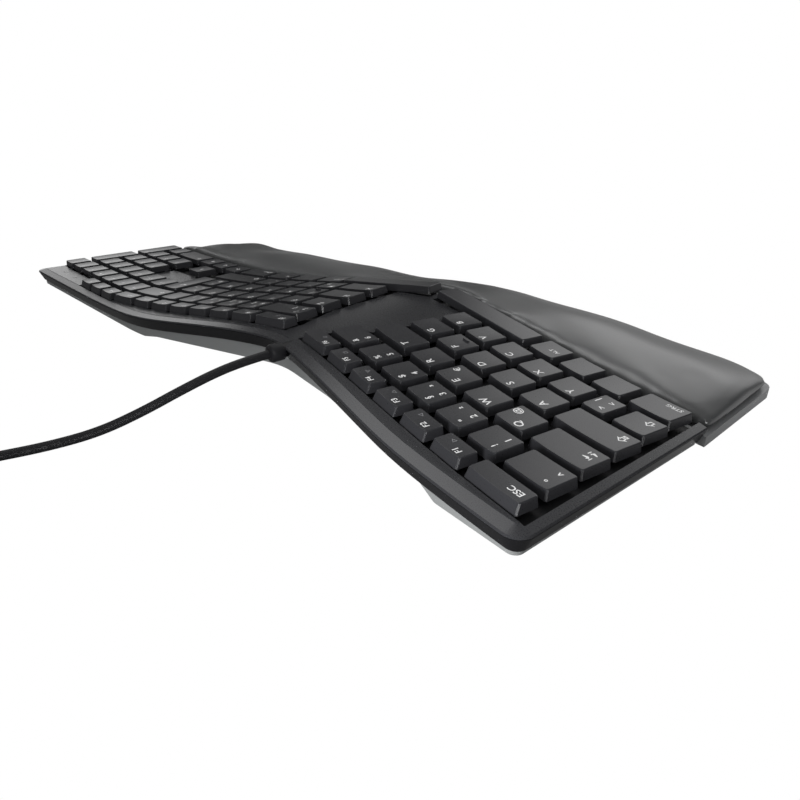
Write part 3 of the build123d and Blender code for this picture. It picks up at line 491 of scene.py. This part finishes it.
# The line of the cord runs inside its control points, so those of a turn lie at this multiple of its radius
COIL_REACH = 1.0 / math.cos(math.pi / STEPS / 2)


# Points of half a turn that starts at x, goes to one side and rises from low to high, and the x of its end
def half_turn(x, y, radius, side, low, high):
    centre = x + side * radius
    points = []
    for step in range(STEPS):
        share = (step + 0.5) / STEPS
        angle = math.pi * share
        points.append((centre - side * radius * COIL_REACH * math.cos(angle),
                       y + side * radius * COIL_REACH * math.sin(angle), low + (high - low) * share))
    return points, x + side * 2 * radius


# A layer of turns that winds inwards on the floor, and one that winds out again on top of it
def coil_points():
    x, y, z = ROUTE[-1]
    y += LEAD
    side = 1
    radius = COIL_RADIUS
    found = []
    for _ in range(HALF_TURNS):
        points, x = half_turn(x, y, radius, side, z, z)
        found += points
        radius -= COIL_PITCH / 2
        side = -side
    points, x = half_turn(x, y, radius, side, z, z + COIL_PITCH)
    found += points
    z += COIL_PITCH
    side = -side
    for _ in range(HALF_TURNS):
        radius += COIL_PITCH / 2
        points, x = half_turn(x, y, radius, side, z, z)
        found += points
        side = -side
    return found, (x, y, z)


def cord_points():
    x, y, z = ROUTE[-1]
    lead = [(x, y + LEAD_POINT, z)]
    turns, (x, y, z) = coil_points()
    tail = [(x, y - 0.006, z), (x + 0.003, y - 0.0135, 0.0062), (x + 0.0095, y - 0.019, 0.0050),
            (x + 0.016, y - TAIL, 0.0043), (x + TAIL + LEAD, y - TAIL, 0.0043)]
    return ROUTE + lead + turns + tail


places = cord_points()
curve = bpy.data.curves.new("cord", "CURVE")
curve.dimensions = "3D"
curve.bevel_depth = CORD_DIAMETER / 2
curve.bevel_resolution = 6
curve.resolution_u = 6
spline = curve.splines.new("NURBS")
spline.points.add(len(places) - 1)
for point, place in zip(spline.points, places):
    point.co = (*place, 1.0)
spline.order_u = 3
spline.use_endpoint_u = True
spline.use_smooth = True
cord = link_piece("cord", curve)
cord.data.materials.append(cord_rubber)
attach(cord, "case")
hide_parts("cord_run", "cord_coil")


# Padded palm rest: sections of the cushion's space, lowered where the padding lies under it, then swollen as
# cloth. Along x it reaches END_REACH each way, and its ends and the corners of its front edge are rounded
END_REACH = 0.2374
END_ROUND = 0.010
END_FALL = 0.0060
END_HEIGHT = 0.010
CORNER_ROUND = 0.007
# The rear edge is lower all along, and less so towards the number pad's end
REAR_FALL = 0.0024
REAR_DEPTH = 0.042
REAR_EASE = 0.6
REAR_EASE_SPAN = (0.11, 0.19)
# The padding dips in front of the dome of the keys, around DOME_X, and at the far end, by the number pad
DOME_X = -0.055
DOME_FALL = 0.0054
DOME_SPAN = (0.035, 0.105)
DOME_LIP = 0.016
FAR_FALL = 0.0046
FAR_SPAN = (0.115, 0.190)
FAR_LIP = 0.014
FAR_DEPTH = (0.045, 0.085)
FOOT_HEIGHT = 0.006
# The edges of a section are found by rays from outside, at a place in y and a height over the space's floor.
# Its points are found by rays from a place just over that floor, aimed at a flattened half circle
REAR_PROBE = (0.2, 0.002)
FRONT_PROBE = (-0.3, 0.0006)
HEART_HEIGHT = 0.0002
SECTION_POINTS = 56
SECTION_HEIGHT = 0.55
SECTION_SQUARENESS = 0.6
STATIONS = 120
STATION_SPREAD = 0.75
# Past SAFE_REACH the space's own ends curve. There the front edge goes on at its slope between SLOPE_START
# and SAFE_REACH
SAFE_REACH = 0.2270
SLOPE_START = 0.2
PAD_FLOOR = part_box("palm_cushion")[0].z
space = bmesh.new()
space.from_mesh(nodes["palm_cushion"].data)
space_tree = BVHTree.FromBMesh(space)


def smooth(low, high, value):
    share = min(max((value - low) / (high - low), 0.0), 1.0)
    return share * share * (3.0 - 2.0 * share)


# How far a rounding has fallen back at x, as a share of its radius. It ends at END_REACH
def rounding(x, radius):
    share = max(0.0, abs(x) - (END_REACH - radius)) / radius
    return 1 - math.sqrt(max(0.0, 1 - share ** 2))


# Rear and front edge of the cushion's space at one place along the keyboard
def span(x):
    edges = []
    for (y, height), direction in ((REAR_PROBE, Vector((0, -1, 0))), (FRONT_PROBE, Vector((0, 1, 0)))):
        edges.append(space_tree.ray_cast(Vector((x, y, PAD_FLOOR + height)), direction)[0].y)
    return edges


# How far the padding lies under the top of its space, at a depth in from the rear edge
def lowered(x, depth, height):
    dome = DOME_FALL * (1 - smooth(*DOME_SPAN, abs(x - DOME_X))) * smooth(0.0, DOME_LIP, depth)
    far_end = FAR_FALL * smooth(*FAR_SPAN, x) * smooth(0.0, FAR_LIP, depth) * (1 - smooth(*FAR_DEPTH, depth))
    rear = REAR_FALL * (1 - REAR_EASE * smooth(*REAR_EASE_SPAN, x)) * (1 - smooth(0.0, REAR_DEPTH, depth))
    return (dome + far_end + rear) * smooth(0.0, FOOT_HEIGHT, height)


def section(x):
    end = 1 if x > 0 else -1
    held = min(max(x, -SAFE_REACH), SAFE_REACH)
    rear, front = span(held)
    slope = (span(end * SAFE_REACH)[1] - span(end * SLOPE_START)[1]) / (SAFE_REACH - SLOPE_START)
    front_here = front + (abs(x) - abs(held)) * slope + CORNER_ROUND * rounding(x, CORNER_ROUND)
    fall = END_FALL * rounding(x, END_ROUND)
    heart = Vector((held, (rear + front) / 2, PAD_FLOOR + HEART_HEIGHT))
    half = (rear - front) / 2
    points = []
    for step in range(SECTION_POINTS + 1):
        angle = math.pi * step / SECTION_POINTS
        rise = math.sin(angle) ** SECTION_SQUARENESS * SECTION_HEIGHT * half
        aim = Vector((0, math.cos(angle) * half, HEART_HEIGHT + rise))
        hit = space_tree.ray_cast(heart, aim.normalized())[0]
        share = (rear - hit.y) / (rear - front)
        height = hit.z - PAD_FLOOR
        z = hit.z - lowered(x, rear - hit.y, height) - fall * smooth(0.0, END_HEIGHT, height)
        points.append((x, rear + (front_here - rear) * share, z))
    return points


# Places of the sections, closer together towards both ends
def stations():
    for step in range(STATIONS + 1):
        share = 2.0 * step / STATIONS - 1.0
        yield END_REACH * (STATION_SPREAD * share + (1 - STATION_SPREAD) * math.sin(math.pi / 2 * share))


# Faces between rings of points, each ring closed on itself
def join_rings(shape, rings):
    count = len(rings[0])
    for near, far in zip(rings, rings[1:]):
        for index in range(count):
            after = (index + 1) % count
            shape.faces.new((near[index], near[after], far[after], far[index]))


def finished_piece(name, shape):
    bmesh.ops.recalc_face_normals(shape, faces=shape.faces)
    mesh = bpy.data.meshes.new(name)
    shape.to_mesh(mesh)
    shape.free()
    return link_piece(name, mesh)


def padded_rest():
    shape = bmesh.new()
    rings = [[shape.verts.new(point) for point in section(x)] for x in stations()]
    join_rings(shape, rings)
    shape.faces.new(rings[0])
    shape.faces.new(list(reversed(rings[-1])))
    return finished_piece("padded_rest", shape)


def apply_modifiers(piece):
    graph = bpy.context.evaluated_depsgraph_get()
    baked = bpy.data.meshes.new_from_object(piece.evaluated_get(graph))
    piece.modifiers.clear()
    old = piece.data
    piece.data = baked
    bpy.data.meshes.remove(old)


def smoothed(piece, name, iterations):
    made = piece.modifiers.new(name, "SMOOTH")
    made.factor = 0.5
    made.iterations = iterations


def vertex_places(piece):
    return np.array([vertex.co[:] for vertex in piece.data.vertices])


# The padding swells as cloth under pressure, sewn down along its lower edge, by SWELL_LIMIT at the most
VOXEL = 0.0024
EVEN_STEPS = 6
SETTLE_STEPS = 14
SWELL_LIMIT = 0.0005
LEAST_MOVE = 1e-9
SEAM_HEIGHT = 0.0035
CLOTH_QUALITY = 4
CLOTH_MASS = 0.3
PRESSURE = 4.0
SIMULATED_FRAMES = 20


def swell(piece):
    sewn = piece.vertex_groups.new(name="sewn")
    sewn.add([v.index for v in piece.data.vertices if v.co.z < PAD_FLOOR + SEAM_HEIGHT], 1.0, "REPLACE")
    before = vertex_places(piece)
    cloth = piece.modifiers.new("stuffing", "CLOTH")
    cloth.settings.quality = CLOTH_QUALITY
    cloth.settings.mass = CLOTH_MASS
    cloth.settings.use_pressure = True
    cloth.settings.uniform_pressure_force = PRESSURE
    cloth.settings.effector_weights.gravity = 0.0
    cloth.settings.vertex_group_mass = "sewn"
    for number in range(1, SIMULATED_FRAMES + 1):
        scene.frame_set(number)
    apply_modifiers(piece)
    scene.frame_set(1)
    moved = vertex_places(piece) - before
    length = np.linalg.norm(moved, axis=1, keepdims=True)
    moved *= np.minimum(1.0, SWELL_LIMIT / np.maximum(length, LEAST_MOVE))
    piece.data.vertices.foreach_set("co", (before + moved).ravel())
    piece.data.update()


pad = padded_rest()
space.free()
remesh = pad.modifiers.new("voxels", "REMESH")
remesh.mode = "VOXEL"
remesh.voxel_size = VOXEL
smoothed(pad, "even", EVEN_STEPS)
apply_modifiers(pad)
swell(pad)
smoothed(pad, "settled", SETTLE_STEPS)
finer = pad.modifiers.new("finer", "SUBSURF")
finer.levels = 1
finer.render_levels = 1
smooth_faces(pad.data)
pad.data.materials.append(cushion_skin)
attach(pad, "case")
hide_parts("palm_cushion")


# Collar where the cord leaves the rear wall: a short turned sleeve with rounded ends. Its profile is a
# distance along +Y from a base inside the wall, and a radius, in millimetres
COLLAR_PROFILE = (
    (-4.0, 0.0), (-4.0, 3.4), (2.0, 3.4), (2.0, 4.0), (2.4, 4.3),
    (7.6, 4.2), (8.4, 3.9), (8.8, 3.3), (9.0, 2.4), (9.2, 0.0),
)
COLLAR_SIDES = 48
LEAST_RADIUS = 0.001


def turned(name, profile, base, sides):
    shape = bmesh.new()
    rings = []
    for along, radius in profile:
        radius = max(radius, LEAST_RADIUS)
        ring = []
        for side in range(sides):
            angle = 2 * math.pi * side / sides
            offset = Vector((math.cos(angle) * radius, along, math.sin(angle) * radius)) * MM
            ring.append(shape.verts.new(base + offset))
        rings.append(ring)
    join_rings(shape, rings)
    piece = finished_piece(name, shape)
    smooth_faces(piece.data)
    return piece


# Its inner end is where the CAD sleeve's is, and it lies level with the cord
exit_x, _, exit_z = ROUTE[0]
base_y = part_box("strain_relief")[0].y - COLLAR_PROFILE[0][0] * MM
collar = turned("collar", COLLAR_PROFILE, Vector((exit_x, base_y, exit_z)), COLLAR_SIDES)
collar.data.materials.append(cord_rubber)
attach(collar, "case")
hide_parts("strain_relief")


# Floor: white to the camera, a pale surface to diffuse light, and dimmer towards the rear in reflections
FLOOR_REACH = 60
FLOOR_TONE = 0.5
FLOOR_ROUGHNESS = 0.9
FRONT_Y = -0.08
REAR_Y = 0.06
FRONT_GLOSS = 0.45
REAR_GLOSS = 0.10


def floor_material():
    made, tree, shader = material("floor_paint")
    shader.inputs["Base Color"].default_value = (FLOOR_TONE, FLOOR_TONE, FLOOR_TONE, 1.0)
    shader.inputs["Roughness"].default_value = FLOOR_ROUGHNESS
    shader.inputs["Specular IOR Level"].default_value = 0.0
    ray = tree.nodes.new("ShaderNodeLightPath")
    white = tree.nodes.new("ShaderNodeEmission")
    dim = tree.nodes.new("ShaderNodeEmission")
    axes = tree.nodes.new("ShaderNodeSeparateXYZ")
    for_gloss = tree.nodes.new("ShaderNodeMixShader")
    for_camera = tree.nodes.new("ShaderNodeMixShader")
    tree.links.new(object_place(tree), axes.inputs[0])
    strength = ranged(tree, axes.outputs["Y"], FRONT_Y, REAR_Y, FRONT_GLOSS, REAR_GLOSS, "SMOOTHSTEP")
    tree.links.new(strength, dim.inputs["Strength"])
    for mix, flag, otherwise, chosen in ((for_gloss, "Is Glossy Ray", shader, dim),
                                         (for_camera, "Is Camera Ray", for_gloss, white)):
        tree.links.new(ray.outputs[flag], mix.inputs[0])
        tree.links.new(otherwise.outputs[0], mix.inputs[1])
        tree.links.new(chosen.outputs[0], mix.inputs[2])
    tree.links.new(for_camera.outputs[0], tree.nodes["Material Output"].inputs["Surface"])
    return made


CORNERS = ((-1, -1), (1, -1), (1, 1), (-1, 1))
floor_mesh = bpy.data.meshes.new("floor")
floor_mesh.from_pydata([(x * FLOOR_REACH, y * FLOOR_REACH, 0) for x, y in CORNERS], [], [(0, 1, 2, 3)])
floor = link_piece("floor", floor_mesh)
floor.data.materials.append(floor_material())


# Studio: white behind the object, even light for its colours, and soft panels in its reflections.
# A panel is azimuth, elevation, inner and outer angle in degrees, and strength
PANELS = (
    (-69.0, 26.0, 8.0, 17.0, 1.45),
    (-92.0, 18.0, 8.0, 18.0, 1.0),
    (-34.0, 53.0, 6.0, 13.0, 2.5),
    (-8.0, 62.0, 5.0, 12.0, 1.9),
    (-38.0, 12.0, 3.0, 8.0, 0.32),
    (-12.0, 10.0, 4.0, 15.0, 1.5),
    (138.0, 2.0, 5.0, 11.0, 19.0),
)
WHITE = 1.0
EVEN_LIGHT = 0.85
HORIZON_GLOSS = 0.14
SKY_GLOSS = 0.06
ZENITH_GLOSS = 0.16
# Sines of the elevations between which the reflected sky changes
HORIZON_BAND = (-0.12, 0.06)
ZENITH_BAND = (0.5, 1.0)


def add(tree, first, second):
    made = tree.nodes.new("ShaderNodeMath")
    made.operation = "ADD"
    tree.links.new(first, made.inputs[0])
    tree.links.new(second, made.inputs[1])
    return made.outputs[0]


# A value is a number or another node's output
def choose(tree, flag, otherwise, chosen):
    made = tree.nodes.new("ShaderNodeMix")
    tree.links.new(flag, made.inputs["Factor"])
    for label, value in (("A", otherwise), ("B", chosen)):
        if isinstance(value, float):
            made.inputs[label].default_value = value
        else:
            tree.links.new(value, made.inputs[label])
    return made.outputs["Result"]


def aim_at(azimuth, elevation):
    level = math.cos(elevation)
    return level * math.cos(azimuth), level * math.sin(azimuth), math.sin(elevation)


def panel(tree, direction, azimuth, elevation, inner, outer, strength):
    towards = tree.nodes.new("ShaderNodeVectorMath")
    towards.operation = "DOT_PRODUCT"
    towards.inputs[1].default_value = aim_at(azimuth, elevation)
    tree.links.new(direction, towards.inputs[0])
    nearness = towards.outputs["Value"]
    return ranged(tree, nearness, math.cos(outer), math.cos(inner), 0.0, strength, "SMOOTHSTEP")


def reflected_light(tree):
    direction = tree.nodes.new("ShaderNodeTexCoord").outputs["Generated"]
    axes = tree.nodes.new("ShaderNodeSeparateXYZ")
    tree.links.new(direction, axes.inputs[0])
    rise = axes.outputs["Z"]
    light = add(tree, ranged(tree, rise, *HORIZON_BAND, HORIZON_GLOSS, SKY_GLOSS, "SMOOTHSTEP"),
                ranged(tree, rise, *ZENITH_BAND, 0.0, ZENITH_GLOSS, "SMOOTHSTEP"))
    for *angles, strength in PANELS:
        light = add(tree, light, panel(tree, direction, *(math.radians(angle) for angle in angles), strength))
    return light


studio = bpy.data.worlds.new("studio")
studio.use_nodes = True
tree = studio.node_tree
ray = tree.nodes.new("ShaderNodeLightPath")
light = choose(tree, ray.outputs["Is Glossy Ray"], EVEN_LIGHT, reflected_light(tree))
strength = choose(tree, ray.outputs["Is Camera Ray"], light, WHITE)
background = tree.nodes["Background"]
tree.links.new(strength, background.inputs["Strength"])
background.inputs["Color"].default_value = (1.0, 1.0, 1.0, 1.0)
studio.cycles.sampling_method = "NONE"
scene.world = studio
scene.view_settings.view_transform = "Standard"


# A small soft lamp behind the left rear corner, which no reflection shows
LAMP_PLACE = (-0.215, 0.225, 0.035)
LAMP_AIM = Vector((0, -1, -0.25))
lamp_data = bpy.data.lights.new("corner_lamp", "AREA")
lamp_data.energy = 0.27
lamp_data.size = 0.05
lamp = link_piece("corner_lamp", lamp_data)
lamp.location = LAMP_PLACE
lamp.rotation_euler = LAMP_AIM.to_track_quat("-Z", "Y").to_euler()
lamp.visible_glossy = False
lamp.visible_camera = False
